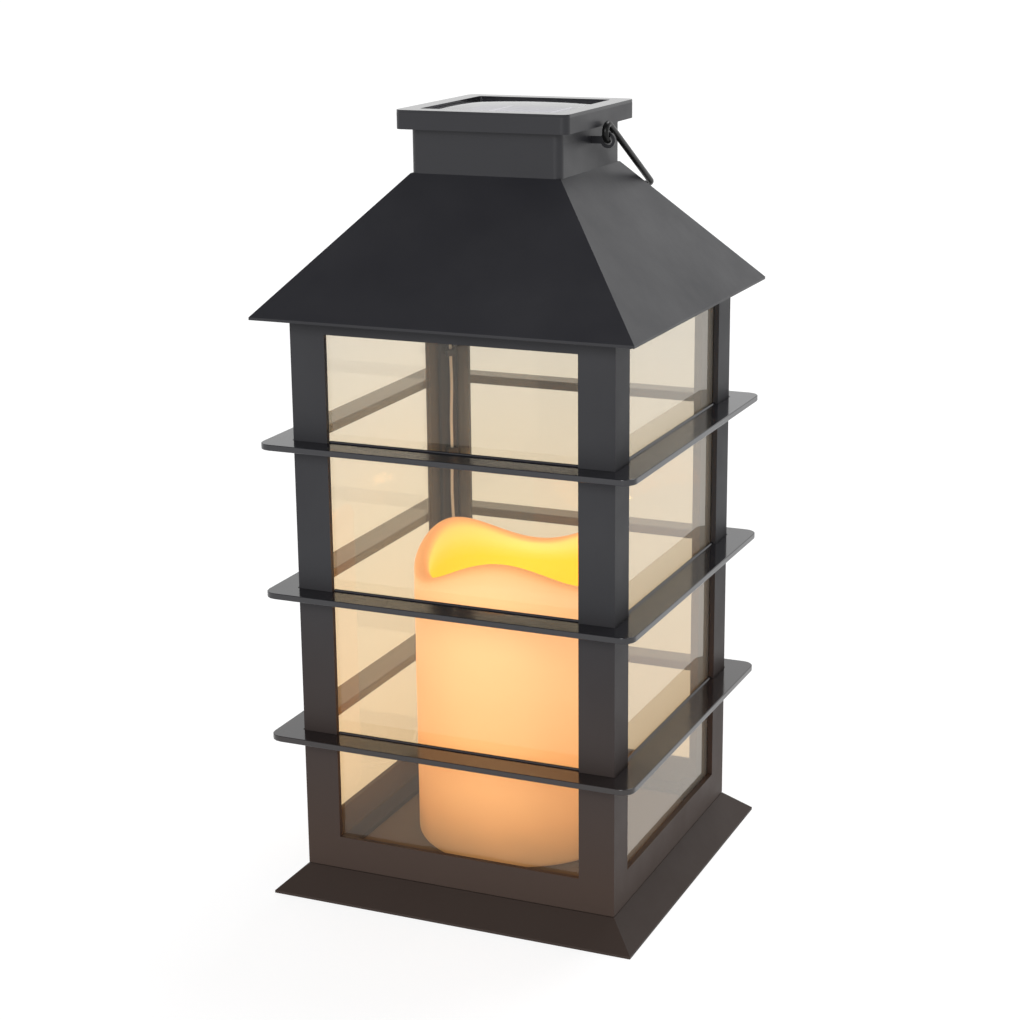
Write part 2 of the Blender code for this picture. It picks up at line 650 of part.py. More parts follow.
def lamp():
    """Round lamp, its post and its two legs."""
    ivory = material("ivory_plastic", (0.85, 0.82, 0.72), 0.4)
    foot_bottom = MODULE_TOP + GAP
    foot_top = foot_bottom + 2.0 * MM
    post_top = LAMP_BASE - GAP
    profile = [
        (LAMP_POST_BORE, foot_bottom),
        (9.0 * MM, foot_bottom),
        (9.0 * MM, foot_top),
        (LAMP_POST_RADIUS, foot_top + 1.5 * MM),
        (LAMP_POST_RADIUS, post_top),
        (LAMP_POST_BORE, post_top),
    ]
    finish("lamp_post", turned(profile, 24), ivory)
    profile = [
        (0.0, LAMP_BASE),
        (LAMP_RADIUS + 0.4 * MM, LAMP_BASE),
        (LAMP_RADIUS + 0.4 * MM, LAMP_BASE + 1.0 * MM),
        (LAMP_RADIUS, LAMP_BASE + 1.0 * MM),
    ]
    dome_centre = LAMP_BASE + LAMP_HEIGHT - LAMP_RADIUS
    for step in range(5):
        angle = math.radians(90 * step / 4)
        radius = LAMP_RADIUS * math.cos(angle) if step < 4 else 0.0
        profile.append((radius, dome_centre + LAMP_RADIUS * math.sin(angle)))
    finish("led_lamp", turned(profile, 20), material("lamp_lens", (1.0, 0.85, 0.45), 0.1))
    leg_bottom = BOARD_BOTTOM + BOARD_THICKNESS + GAP
    legs = [cylinder(0.3 * MM, leg_bottom, LAMP_BASE - GAP, (sign * 1.27 * MM, 0.0), sides=8)
            for sign in (1, -1)]
    repeated("lamp_leg", legs, zinc_steel())


# ---------------------------------------------------------------- power module

def module_housing():
    """Drum that closes over the battery and board, with a flange under the floor."""
    roof_inside = MODULE_TOP - MODULE_WALL
    profile = [
        (0.0, MODULE_TOP),
        (MODULE_RADIUS, MODULE_TOP),
        (MODULE_RADIUS, MODULE_FLANGE_TOP),
        (MODULE_FLANGE_RADIUS, MODULE_FLANGE_TOP),
        (MODULE_FLANGE_RADIUS, MODULE_BOTTOM),
        (MODULE_INNER, MODULE_BOTTOM),
        (MODULE_INNER, roof_inside),
        (0.0, roof_inside),
    ]
    housing = finish("module_housing", turned(profile, 48), black_plastic())
    into_roof = roof_inside + 0.5 * MM
    posts = []
    holes = [cylinder(3.0 * MM, roof_inside - 1 * MM, MODULE_TOP + 1 * MM)]
    for sign in (1, -1):
        place = (0.0, sign * COVER_SCREW_OFFSET)
        low = COVER_TOP + GAP
        posts.append(cylinder(3.0 * MM, low, into_roof, place))
        holes.append(cylinder(SMALL_HOLE, low - 1 * MM, low + 8 * MM, place, sides=12))
        place = (sign * BOARD_POST_OFFSET, 0.0)
        low = BOARD_BOTTOM + BOARD_THICKNESS + GAP
        posts.append(cylinder(2.6 * MM, low, into_roof, place))
        holes.append(cylinder(SMALL_HOLE, low - 1 * MM, low + 4.0 * MM, place, sides=12))
    for place in on_circle(3, MODULE_SCREW_RADIUS, math.radians(90)):
        holes.append(cylinder(SCREW_HOLE, MODULE_BOTTOM - 1 * MM, MODULE_FLANGE_TOP + 1 * MM, place,
                              sides=16))
    lead_hole = turned_about_z(laid_down(cylinder(1.2 * MM, 25 * MM, 35 * MM, sides=16), "X"),
                               math.radians(135))
    holes.append(moved(lead_hole, (0, 0, LEAD_FLOOR)))
    join(housing, *posts, solver="MANIFOLD")
    return cut(housing, *holes, solver="MANIFOLD")


def module_cover():
    """Round bottom cover with the battery bay, its cradle and the switch slot."""
    cover = finish("module_cover", cylinder(COVER_RADIUS, MODULE_BOTTOM, COVER_TOP, sides=48),
                   black_plastic())
    rib_top = 14.0 * MM
    wall_top = 17.0 * MM
    root = COVER_TOP - 0.5 * MM
    walls = []
    for sign in (1, -1):
        rib = sorted((sign * (DOOR_BAY_HALF + 0.3 * MM), sign * (DOOR_BAY_HALF + 1.5 * MM)))
        walls.append(box((-19 * MM, 19 * MM), rib, (root, rib_top)))
        end = sorted((sign * (BATTERY_BAY_HALF + 0.3 * MM), sign * (BATTERY_BAY_HALF + 1.5 * MM)))
        walls.append(box(end, (-6 * MM, 6 * MM), (root, wall_top)))
    join(cover, *walls)
    through = (MODULE_BOTTOM - 1 * MM, COVER_TOP + 1 * MM)
    slot_half = (4.0 * MM + SWITCH_TRAVEL) / 2 + 0.4 * MM
    switch_x, switch_y = SWITCH_CENTRE
    cuts = [box((-BATTERY_BAY_HALF, BATTERY_BAY_HALF), (-DOOR_BAY_HALF, DOOR_BAY_HALF),
                (through[0], COVER_TOP + 0.1 * MM)),
            box((switch_x - slot_half, switch_x + slot_half),
                (switch_y - 1.8 * MM, switch_y + 1.8 * MM), through)]
    for sign in (1, -1):
        cuts.append(cylinder(SMALL_HOLE, *through, (0.0, sign * COVER_SCREW_OFFSET), sides=12))
    return cut(cover, *cuts)


def battery_door():
    """Flap over the battery bay, with its hinge barrel on the axis."""
    barrel = DOOR_THICKNESS / 2
    half_length = BATTERY_BAY_HALF - GAP
    width = DOOR_BAY_HALF - GAP - DOOR_AXIS_Y
    location = (0.0, DOOR_AXIS_Y, MODULE_BOTTOM + barrel)
    door = finish("battery_door", laid_down(cylinder(barrel, -half_length, half_length, sides=16), "X"),
                  black_plastic(), location)
    flap = moved(box((-half_length, half_length), (0.0, width), (-barrel, barrel)), location)
    grip = moved(box((-6 * MM, 6 * MM), (width - 2.2 * MM, width + 1 * MM), (-2 * MM, -barrel + 0.6 * MM)),
                 location)
    join(door, flap)
    return cut(door, grip)


def battery():
    """Rechargeable cell with its coil spring and two contact plates."""
    cell = [
        (0.0, CELL_START),
        (CELL_RADIUS, CELL_START),
        (CELL_RADIUS, CELL_END),
        (1.9 * MM, CELL_END),
        (1.9 * MM, CELL_END + 1.0 * MM),
        (0.0, CELL_END + 1.0 * MM),
    ]
    body = moved(laid_down(turned(cell, 24), "X"), (0, 0, CELL_HEIGHT))
    finish("battery_cell", body, material("cell_sleeve", (0.12, 0.35, 0.18), 0.35))
    plates = []
    for sign in (1, -1):
        faces = sorted((sign * (BATTERY_BAY_HALF - 0.4 * MM), sign * BATTERY_BAY_HALF))
        plates.append(box(faces, (-4.5 * MM, 4.5 * MM), (CELL_HEIGHT - 4.5 * MM, CELL_HEIGHT + 4.5 * MM)))
    repeated("battery_contact", plates, zinc_steel())
    start = -BATTERY_BAY_HALF + 1.1 * MM
    end = CELL_START - 0.65 * MM
    turns = 3
    steps = 14 * turns
    coil = []
    for step in range(steps + 1):
        part = step / steps
        angle = math.tau * turns * part
        radius = (3.6 - 1.2 * part) * MM
        coil.append((start + (end - start) * part, radius * math.cos(angle),
                     CELL_HEIGHT + radius * math.sin(angle)))
    wire("battery_spring", coil, 0.35 * MM, zinc_steel(), resolution=1)


def circuit_board():
    """Charge controller board with its parts on the upper side."""
    board = finish("circuit_board", box((-18 * MM, 18 * MM), (-11 * MM, 11 * MM),
                                        (BOARD_BOTTOM, BOARD_BOTTOM + BOARD_THICKNESS)),
                   material("board_green", (0.05, 0.25, 0.10), 0.5))
    root = BOARD_BOTTOM + BOARD_THICKNESS - 0.2 * MM
    join(board,
         box((4 * MM, 9 * MM), (4 * MM, 8 * MM), (root, root + 1.7 * MM)),
         box((-9 * MM, -5 * MM), (-8 * MM, -4 * MM), (root, root + 2.7 * MM)),
         cylinder(2.0 * MM, root, root + 4.5 * MM, (5 * MM, -6.5 * MM), sides=16))
    holes = [cylinder(SMALL_HOLE, BOARD_BOTTOM - 1 * MM, root + 1 * MM, (sign * BOARD_POST_OFFSET, 0.0),
                      sides=12) for sign in (1, -1)]
    return cut(board, *holes)


def power_switch():
    """Slide switch body and the sliding knob that reaches through the cover."""
    centre_x, centre_y = SWITCH_CENTRE
    finish("switch_body", box((centre_x - 6.5 * MM, centre_x + 6.5 * MM),
                              (centre_y - 3 * MM, centre_y + 3 * MM), (9.1 * MM, 13.6 * MM)),
           zinc_steel())
    off_x = centre_x - SWITCH_TRAVEL / 2
    location = (off_x, centre_y, COVER_TOP)
    knob = finish("switch_slider", box((-2 * MM, 2 * MM), (-1.4 * MM, 1.4 * MM), (-2.6 * MM, 0.6 * MM)),
                  material("switch_plastic", (0.75, 0.75, 0.72), 0.4), location)
    plate = box((-4.6 * MM, 4.6 * MM), (-2.4 * MM, 2.4 * MM), (GAP, 1.2 * MM))
    return join(knob, moved(plate, location))


# ---------------------------------------------------------------- fasteners

def screws():
    """Every screw points up into its boss."""
    steel = zinc_steel()
    head_bottom = SKIRT_TOP - FLOOR_THICKNESS - GAP - SCREW_HEAD_HEIGHT
    frame = [screw((x * FRAME_SCREW_OFFSET, y * FRAME_SCREW_OFFSET), head_bottom, 16.0 * MM,
                   SCREW_HEAD, SCREW_SHANK) for x, y in CORNERS]
    repeated("frame_screw", frame, steel)
    head_bottom = FRAME_TOP - FLANGE_THICKNESS - GAP - SCREW_HEAD_HEIGHT
    roof = [screw((x * ROOF_SCREW_OFFSET, y * ROOF_SCREW_OFFSET), head_bottom, FRAME_TOP + 9 * MM,
                  SCREW_HEAD, SCREW_SHANK) for x, y in CORNERS]
    repeated("roof_screw", roof, steel)
    head_bottom = NECK_TOP - ROOF_WALL - GAP - SCREW_HEAD_HEIGHT
    cap = [screw((x * CAP_SCREW_OFFSET, y * CAP_SCREW_OFFSET), head_bottom, CAP_BOTTOM + CAP_SCREW_REACH,
                 SCREW_HEAD, SCREW_SHANK) for x, y in CORNERS]
    repeated("cap_screw", cap, steel)
    head_bottom = MODULE_BOTTOM - GAP - SCREW_HEAD_HEIGHT
    module = [screw(place, head_bottom, SKIRT_TOP - 0.4 * MM, SCREW_HEAD, SCREW_SHANK)
              for place in on_circle(3, MODULE_SCREW_RADIUS, math.radians(90))]
    repeated("module_screw", module, steel)
    cover = [screw((0.0, sign * COVER_SCREW_OFFSET), head_bottom, COVER_TOP + 6 * MM,
                   SMALL_HEAD, SMALL_SHANK) for sign in (1, -1)]
    repeated("cover_screw", cover, steel)
    head_bottom = BOARD_BOTTOM - GAP - SCREW_HEAD_HEIGHT
    board = [screw((sign * BOARD_POST_OFFSET, 0.0), head_bottom, BOARD_BOTTOM + 5.0 * MM,
                   SMALL_HEAD, SMALL_SHANK) for sign in (1, -1)]
    repeated("board_screw", board, steel)


# ---------------------------------------------------------------- wiring

def solar_lead():
    """Thin cable from the solar cap down the back left corner into the power module."""
    diagonal = [
        (12.0, 295.0), (12.0, 286.0), (22.0, 270.0), (38.0, 252.0), (46.0, 239.0), (46.6, 229.0),
        (49.5, 219.0), (53.6, 211.0), (54.4, 202.0),
    ]
    sway = [
        (-54.4, 54.4, 192.0), (-54.2, 54.6, 178.0), (-54.5, 54.3, 164.0), (-54.4, 54.4, 150.0),
        (-54.6, 54.1, 132.0), (-54.2, 54.6, 113.0), (-54.4, 54.4, 95.0), (-54.5, 54.2, 76.0),
        (-54.0, 54.4, 56.0), (-52.6, 52.8, 38.0), (-49.0, 49.0, 23.0), (-46.0, 46.0, 13.5),
    ]
    inward = [(40.0, 11.4), (30.0, 11.4), (22.0, 11.4), (19.6, 11.6)]
    points = [(-across, across, height) for across, height in diagonal]
    points += sway
    points += [(-across, across, height) for across, height in inward]
    points += [(-17.4, 15.0, 16.0), (-15.5, 10.5, 20.6)]
    route = smooth_route([Vector(point) * MM for point in points], 3)
    wire("solar_lead", route, LEAD_RADIUS, material("lead_jacket", (0.7, 0.68, 0.62), 0.5))


def lead_clips():
    """Small clips that hold the lead against its corner strip."""
    reach = LEAD_RUN * math.sqrt(2)
    for index, level in enumerate(CLIP_LEVELS, 1):
        heights = (level - 1.4 * MM, level + 1.4 * MM)
        block = box((reach - 1.9 * MM, reach + 2.2 * MM), (-2.0 * MM, 2.0 * MM), heights)
        clip = finish(f"lead_clip_{index}", turned_about_z(block, math.radians(135)), black_plastic())
        cut(clip, cylinder(LEAD_RADIUS + 0.4 * MM, level - 2 * MM, level + 2 * MM,
                           (-LEAD_RUN, LEAD_RUN), sides=12))


def build():
    for old in list(bpy.data.objects):
        bpy.data.objects.remove(old)
    base_tray()
    body_frame()
    for position, level in RING_LEVELS.items():
        louvre_ring(position, level)
    for index, side in enumerate(("front", "right", "back", "left")):
        window_pane(side, index * math.pi / 2)
    for index, corner in enumerate(("back_right", "back_left", "front_left", "front_right")):
        corner_retainer(corner, index * math.pi / 2)
    roof_shell()
    cap_bezel()
    solar_panel()
    bail_handle()
    candle_shell()
    lamp()
    module_housing()
    module_cover()
    battery_door()
    battery()
    circuit_board()
    power_switch()
    screws()
    solar_lead()
    lead_clips()


build()
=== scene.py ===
"""Looks of the solar candle lantern: detailed pieces, materials, studio and camera.

Units are metres. The lantern stands at the origin with its front towards -Y.
"""

import json
import math

import bmesh
import bpy
from mathutils import Matrix, Vector


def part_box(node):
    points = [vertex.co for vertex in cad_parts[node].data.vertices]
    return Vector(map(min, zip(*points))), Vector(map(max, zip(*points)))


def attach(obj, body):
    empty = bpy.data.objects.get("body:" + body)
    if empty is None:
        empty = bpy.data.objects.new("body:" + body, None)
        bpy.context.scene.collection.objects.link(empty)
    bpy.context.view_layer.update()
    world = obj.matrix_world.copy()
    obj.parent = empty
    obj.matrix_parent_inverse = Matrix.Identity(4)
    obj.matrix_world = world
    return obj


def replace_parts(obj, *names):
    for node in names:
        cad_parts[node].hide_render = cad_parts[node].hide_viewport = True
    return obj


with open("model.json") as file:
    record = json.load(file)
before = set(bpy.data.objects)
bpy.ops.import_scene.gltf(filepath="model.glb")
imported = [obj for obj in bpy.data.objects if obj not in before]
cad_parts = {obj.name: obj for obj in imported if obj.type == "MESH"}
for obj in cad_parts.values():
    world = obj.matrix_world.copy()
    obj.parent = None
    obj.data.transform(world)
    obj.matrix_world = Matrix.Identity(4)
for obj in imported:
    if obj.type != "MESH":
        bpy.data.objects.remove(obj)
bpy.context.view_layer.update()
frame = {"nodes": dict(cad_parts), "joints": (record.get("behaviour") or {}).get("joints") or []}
nodes = frame["nodes"]

MM = 0.001


# ---------------------------------------------------------------- node helpers

def new_material(name):
    """An empty Principled material: (material, node tree, shader)."""
    made = bpy.data.materials.new(name)
    made.use_nodes = True
    return made, made.node_tree, made.node_tree.nodes["Principled BSDF"]


def add(tree, kind, **values):
    """A node with its inputs set by name, with spaces written as underscores."""
    node = tree.nodes.new(kind)
    for key, value in values.items():
        node.inputs[key.replace("_", " ")].default_value = value
    return node


def place(tree):
    """Coordinates in metres, fixed to the piece."""
    return tree.nodes.new("ShaderNodeTexCoord").outputs["Object"]


def noise(tree, vector, scale, detail=2.0, roughness=0.5):
    node = add(tree, "ShaderNodeTexNoise", Scale=scale, Detail=detail, Roughness=roughness)
    tree.links.new(vector, node.inputs["Vector"])
    return node.outputs["Fac"]


def ramp(tree, factor, stops, interpolation="LINEAR"):
    """A colour ramp through (position, colour) stops."""
    node = tree.nodes.new("ShaderNodeValToRGB")
    node.color_ramp.interpolation = interpolation
    elements = node.color_ramp.elements
    while len(elements) < len(stops):
        elements.new(0.5)
    for element, (position, colour) in zip(elements, stops):
        element.position = position
        element.color = (*colour, 1.0) if len(colour) == 3 else colour
    tree.links.new(factor, node.inputs["Fac"])
    return node.outputs["Color"]


def remap(tree, value, low, high, to_low=0.0, to_high=1.0):
    """Map a value from one range to another, clamped."""
    node = tree.nodes.new("ShaderNodeMapRange")
    for key, number in (("From Min", low), ("From Max", high), ("To Min", to_low), ("To Max", to_high)):
        node.inputs[key].default_value = number
    tree.links.new(value, node.inputs["Value"])
    return node.outputs["Result"]


def maths(tree, operation, first, second):
    """A math node; either value may be a number or a socket."""
    node = tree.nodes.new("ShaderNodeMath")
    node.operation = operation
    for socket, value in zip(node.inputs, (first, second)):
        if isinstance(value, (int, float)):
            socket.default_value = value
        else:
            tree.links.new(value, socket)
    return node.outputs["Value"]


def mix_colour(tree, factor, first, second):
    """Mix two colours, each a tuple or a socket."""
    node = tree.nodes.new("ShaderNodeMix")
    node.data_type = "RGBA"
    tree.links.new(factor, node.inputs["Factor"])
    for socket, value in ((node.inputs[6], first), (node.inputs[7], second)):
        if isinstance(value, tuple):
            socket.default_value = (*value, 1.0)
        else:
            tree.links.new(value, socket)
    return node.outputs[2]


def axis_value(tree, vector, axis):
    split = tree.nodes.new("ShaderNodeSeparateXYZ")
    tree.links.new(vector, split.inputs["Vector"])
    return split.outputs[axis]


def add_bump(tree, shader, layers):
    """Stack bumps from (height, strength, distance) layers onto a shader."""
    normal = None
    for height, strength, distance in layers:
        node = add(tree, "ShaderNodeBump", Strength=strength, Distance=distance)
        tree.links.new(height, node.inputs["Height"])
        if normal:
            tree.links.new(normal, node.inputs["Normal"])
        normal = node.outputs["Normal"]
    tree.links.new(normal, shader.inputs["Normal"])


# ---------------------------------------------------------------- materials

def moulded_plastic(name, dark, light, roughness=(0.36, 0.50), grain=0.10, specular=0.5):
    """Satin moulded ABS: fine grain, faint flow marks and uneven gloss."""
    made, tree, shader = new_material(name)
    vector = place(tree)
    cloud = noise(tree, vector, 14.0, 4.0)
    colour = ramp(tree, cloud, [(0.3, dark), (0.7, light)])
    tree.links.new(colour, shader.inputs["Base Color"])
    gloss = remap(tree, noise(tree, vector, 38.0, 5.0, 0.6), 0.3, 0.7, *roughness)
    tree.links.new(gloss, shader.inputs["Roughness"])
    shader.inputs["Specular IOR Level"].default_value = specular
    add_bump(tree, shader, [
        (noise(tree, vector, 24.0, 2.0), 0.05, 1.0 * MM),
        (noise(tree, vector, 2600.0, 2.0, 0.6), grain, 0.05 * MM),
    ])
    return made


def housing_plastic(name, roughness=(0.34, 0.46), specular=0.36, tone=1.0, grain=0.10):
    """Black housing plastic, a little browner towards the foot of the lantern: a painted warm reflection
    of the floor near the lantern.
    """
    dark, light = ((shade * tone, shade * tone, shade * tone + 0.003) for shade in (0.0137, 0.0187))
    made = moulded_plastic(name, dark, light, roughness, grain, specular)
    tree = made.node_tree
    # Painted reflection: the warm brown near the foot stands in for the warm floor that the lower faces
    # mirror.
    foot = remap(tree, axis_value(tree, place(tree), "Z"), 0.13, 0.02)
    recolour(tree, foot, (0.024 * tone, 0.0155 * tone, 0.0120 * tone))
    return made


def recolour(tree, mask, colour):
    """Lay a colour over the base colour where the mask is 1."""
    shader = tree.nodes["Principled BSDF"]
    base = shader.inputs["Base Color"].links[0].from_socket
    tree.links.new(mix_colour(tree, mask, base, colour), shader.inputs["Base Color"])


def both_ways(tree, vector, operation):
    """The larger or smaller of |x| and |y|."""
    across = maths(tree, "ABSOLUTE", axis_value(tree, vector, "X"), 0.0)
    along = maths(tree, "ABSOLUTE", axis_value(tree, vector, "Y"), 0.0)
    return maths(tree, operation, across, along)


def tray_plastic():
    """Housing plastic whose floor inside the lantern is warm grey-brown: painted candle glow on the black
    floor.
    """
    made = housing_plastic("tray_plastic", (0.50, 0.62), 0.22, 1.3)
    tree = made.node_tree
    vector = place(tree)
    inside = remap(tree, both_ways(tree, vector, "MAXIMUM"), 0.0620, 0.0616)
    above = remap(tree, axis_value(tree, vector, "Z"), 0.0094, 0.0098)
    # Painted light: the warm grey-brown on the inner floor is the candle's glow painted into the colour.
    recolour(tree, maths(tree, "MULTIPLY", inside, above), (0.14, 0.10, 0.06))
    return made


def cap_plastic():
    """Housing plastic, glossy on top of the cap."""
    made = housing_plastic("cap_plastic", tone=0.9, grain=0.03)
    tree = made.node_tree
    shader = tree.nodes["Principled BSDF"]
    gloss = shader.inputs["Roughness"].links[0].from_socket
    top = remap(tree, axis_value(tree, place(tree), "Z"), 0.2985, 0.2995, 1.0, 0.15)
    tree.links.new(maths(tree, "MULTIPLY", gloss, top), shader.inputs["Roughness"])
    return made


def outer_fresnel(tree):
    """Reflection off a clear sheet where light enters it, and none where it leaves."""
    fresnel = add(tree, "ShaderNodeFresnel", IOR=1.45)
    leaving = tree.nodes.new("ShaderNodeNewGeometry").outputs["Backfacing"]
    entering = maths(tree, "SUBTRACT", 1.0, leaving)
    return maths(tree, "MULTIPLY", fresnel.outputs["Fac"], entering)


def pane_clear(name, shade, haziness):
    """Thin clear sheet, a little hazy: tinted see-through with reflections, warmer at the bottom, where
    the tint holds a painted candle glow.
    """
    made, tree, _ = new_material(name)
    tree.nodes.clear()
    vector = place(tree)
    height = remap(tree, axis_value(tree, vector, "Z"), 0.02, 0.22)
    wander = noise(tree, vector, 9.0, 2.0)
    level = maths(tree, "ADD", height, remap(tree, wander, 0.3, 0.7, -0.08, 0.08))
    # The see-through tint turns warmer towards the bottom, a painted candle glow, and is scaled by each
    # pane's shade, a painted shade.
    tint_with_painted_light = ramp(tree, level, [
        (0.0, (0.961 * shade, 0.884 * shade, 0.762 * shade)),
        (0.45, (0.958 * shade, 0.909 * shade, 0.815 * shade)),
        (1.0, (0.938 * shade, 0.916 * shade, 0.870 * shade)),
    ])
    clear = tree.nodes.new("ShaderNodeBsdfTransparent")
    tree.links.new(tint_with_painted_light, clear.inputs["Color"])
    haze = add(tree, "ShaderNodeBsdfDiffuse", Color=(0.95, 0.88, 0.76, 1.0))
    body = add(tree, "ShaderNodeMixShader", Fac=haziness)
    tree.links.new(clear.outputs["BSDF"], body.inputs[1])
    tree.links.new(haze.outputs["BSDF"], body.inputs[2])
    gloss = add(tree, "ShaderNodeBsdfGlossy", Color=(1.0, 0.98, 0.94, 1.0), Roughness=0.03)
    ripple = add(tree, "ShaderNodeBump", Strength=0.02, Distance=1.0 * MM)
    tree.links.new(noise(tree, vector, 18.0, 1.0), ripple.inputs["Height"])
    tree.links.new(ripple.outputs["Normal"], gloss.inputs["Normal"])
    both = tree.nodes.new("ShaderNodeMixShader")
    tree.links.new(outer_fresnel(tree), both.inputs["Fac"])
    tree.links.new(body.outputs["Shader"], both.inputs[1])
    tree.links.new(gloss.outputs["BSDF"], both.inputs[2])
    output = tree.nodes.new("ShaderNodeOutputMaterial")
    tree.links.new(both.outputs["Shader"], output.inputs["Surface"])
    return made


def candle_wax():
    """Glowing wax: tan at the foot, peach above, yellow down inside the rim. The emission is the candle's
    glow; the wax base colour copies it as painted light, darker at the foot as painted shade and orange
    on the rim and yellow inside it as painted glow.
    """
    made, tree, shader = new_material("candle_wax")
    vector = place(tree)
    cloud = noise(tree, vector, 30.0, 4.0, 0.6)
    height = remap(tree, axis_value(tree, vector, "Z"), 0.010, 0.130)
    level = maths(tree, "ADD", height, remap(tree, cloud, 0.3, 0.7, -0.02, 0.02))
    glow = ramp(tree, level, [
        (0.0, (0.16, 0.085, 0.030)),
        (0.16, (0.46, 0.175, 0.045)),
        (0.40, (0.68, 0.250, 0.065)),
        (1.0, (0.72, 0.280, 0.095)),
    ])
    # Wax base colour darker towards the foot: painted shade.
    wax_with_painted_light = ramp(tree, level, [
        (0.0, (0.46, 0.33, 0.21)),
        (0.25, (0.64, 0.48, 0.31)),
        (0.60, (0.78, 0.66, 0.50)),
        (0.88, (0.82, 0.70, 0.54)),
    ])
    edge = tree.nodes.new("ShaderNodeAttribute")
    edge.attribute_name = "rim"
    glow = mix_colour(tree, edge.outputs["Fac"], glow, (0.67, 0.245, 0.065))
    # Orange wax base colour on the rim: painted glow.
    wax_with_painted_light = mix_colour(tree, edge.outputs["Fac"], wax_with_painted_light, (0.68, 0.45, 0.24))
    inner = tree.nodes.new("ShaderNodeAttribute")
    inner.attribute_name = "inside"
    emission = mix_colour(tree, inner.outputs["Fac"], glow, (0.66, 0.285, 0.0))
    # Yellow wax base colour inside the rim: painted glow.
    base = mix_colour(tree, inner.outputs["Fac"], wax_with_painted_light, (0.72, 0.44, 0.0))
    tree.links.new(base, shader.inputs["Base Color"])
    tree.links.new(emission, shader.inputs["Emission Color"])
    shader.inputs["Emission Strength"].default_value = 1.0
    shader.inputs["Roughness"].default_value = 0.5
    shader.inputs["Specular IOR Level"].default_value = 0.35
    add_bump(tree, shader, [
        (noise(tree, vector, 60.0, 3.0), 0.10, 0.6 * MM),
        (noise(tree, vector, 900.0, 2.0), 0.08, 0.1 * MM),
    ])
    return made


def bail_coating():
    """Gloss black powder coat on wire."""
    made, tree, shader = new_material("bail_coating")
    vector = place(tree)
    colour = ramp(tree, noise(tree, vector, 160.0, 3.0), [(0.3, (0.003,) * 3), (0.7, (0.007,) * 3)])
    tree.links.new(colour, shader.inputs["Base Color"])
    gloss = remap(tree, noise(tree, vector, 420.0, 3.0), 0.3, 0.7, 0.20, 0.34)
    tree.links.new(gloss, shader.inputs["Roughness"])
    shader.inputs["Specular IOR Level"].default_value = 0.18
    add_bump(tree, shader, [(noise(tree, vector, 1500.0, 2.0), 0.12, 0.05 * MM)])
    return made


def cell_silicon():
    """Dark violet solar cell with fine silver fingers and two wider bars."""
    made, tree, shader = new_material("cell_silicon")
    vector = place(tree)
    grain = noise(tree, vector, 420.0, 3.0, 0.7)
    silicon = ramp(tree, grain, [(0.3, (0.010, 0.004, 0.045)), (0.7, (0.024, 0.008, 0.090))])
    across = axis_value(tree, vector, "X")
    along = axis_value(tree, vector, "Y")
    finger = maths(tree, "PINGPONG", along, 1.1 * MM)
    fingers = remap(tree, finger, 0.10 * MM, 0.06 * MM)
    bar = maths(tree, "PINGPONG", maths(tree, "ADD", across, 12.2 * MM), 12.2 * MM)
    bars = remap(tree, bar, 0.55 * MM, 0.45 * MM)
    lines = maths(tree, "MAXIMUM", fingers, bars)
    tree.links.new(mix_colour(tree, lines, silicon, (0.42, 0.42, 0.44)), shader.inputs["Base Color"])
    tree.links.new(remap(tree, lines, 0.0, 1.0, 0.22, 0.38), shader.inputs["Roughness"])
    add_bump(tree, shader, [(lines, 0.3, 0.03 * MM)])
    return made


def cover_resin():
    """Clear cover over the solar cell."""
    made, tree, _ = new_material("cover_resin")
    tree.nodes.clear()
    vector = place(tree)
    clear = add(tree, "ShaderNodeBsdfTransparent", Color=(0.93, 0.92, 0.95, 1.0))
    gloss = add(tree, "ShaderNodeBsdfGlossy", Color=(1.0, 1.0, 1.0, 1.0))
    smear = remap(tree, noise(tree, vector, 50.0, 3.0), 0.3, 0.7, 0.01, 0.03)
    tree.links.new(smear, gloss.inputs["Roughness"])
    both = tree.nodes.new("ShaderNodeMixShader")
    tree.links.new(outer_fresnel(tree), both.inputs["Fac"])
    tree.links.new(clear.outputs["BSDF"], both.inputs[1])
    tree.links.new(gloss.outputs["BSDF"], both.inputs[2])
    output = tree.nodes.new("ShaderNodeOutputMaterial")
    tree.links.new(both.outputs["Shader"], output.inputs["Surface"])
    return made


def zinc_plate():
    """Zinc plated steel with faint brushing."""
    made, tree, shader = new_material("zinc_plate")
    vector = place(tree)
    colour = ramp(tree, noise(tree, vector, 300.0, 4.0),
                  [(0.3, (0.48, 0.48, 0.46)), (0.7, (0.64, 0.64, 0.61))])
    tree.links.new(colour, shader.inputs["Base Color"])
    shader.inputs["Metallic"].default_value = 1.0
    gloss = remap(tree, noise(tree, vector, 700.0, 3.0), 0.3, 0.7, 0.25, 0.42)
    tree.links.new(gloss, shader.inputs["Roughness"])
    add_bump(tree, shader, [(noise(tree, vector, 1800.0, 2.0), 0.1, 0.04 * MM)])
    return made


def lamp_lens():
    """Clear warm lamp body, lit."""
    made, tree, shader = new_material("lamp_lens")
    vector = place(tree)
    glow = ramp(tree, remap(tree, axis_value(tree, vector, "Z"), 0.082, 0.091),
                [(0.0, (0.9, 0.6, 0.2)), (1.0, (1.0, 0.85, 0.45))])
    tree.links.new(glow, shader.inputs["Base Color"])
    tree.links.new(glow, shader.inputs["Emission Color"])
    shader.inputs["Emission Strength"].default_value = 3.0
    shader.inputs["Roughness"].default_value = 0.15
    return made


# ---------------------------------------------------------------- shape helpers

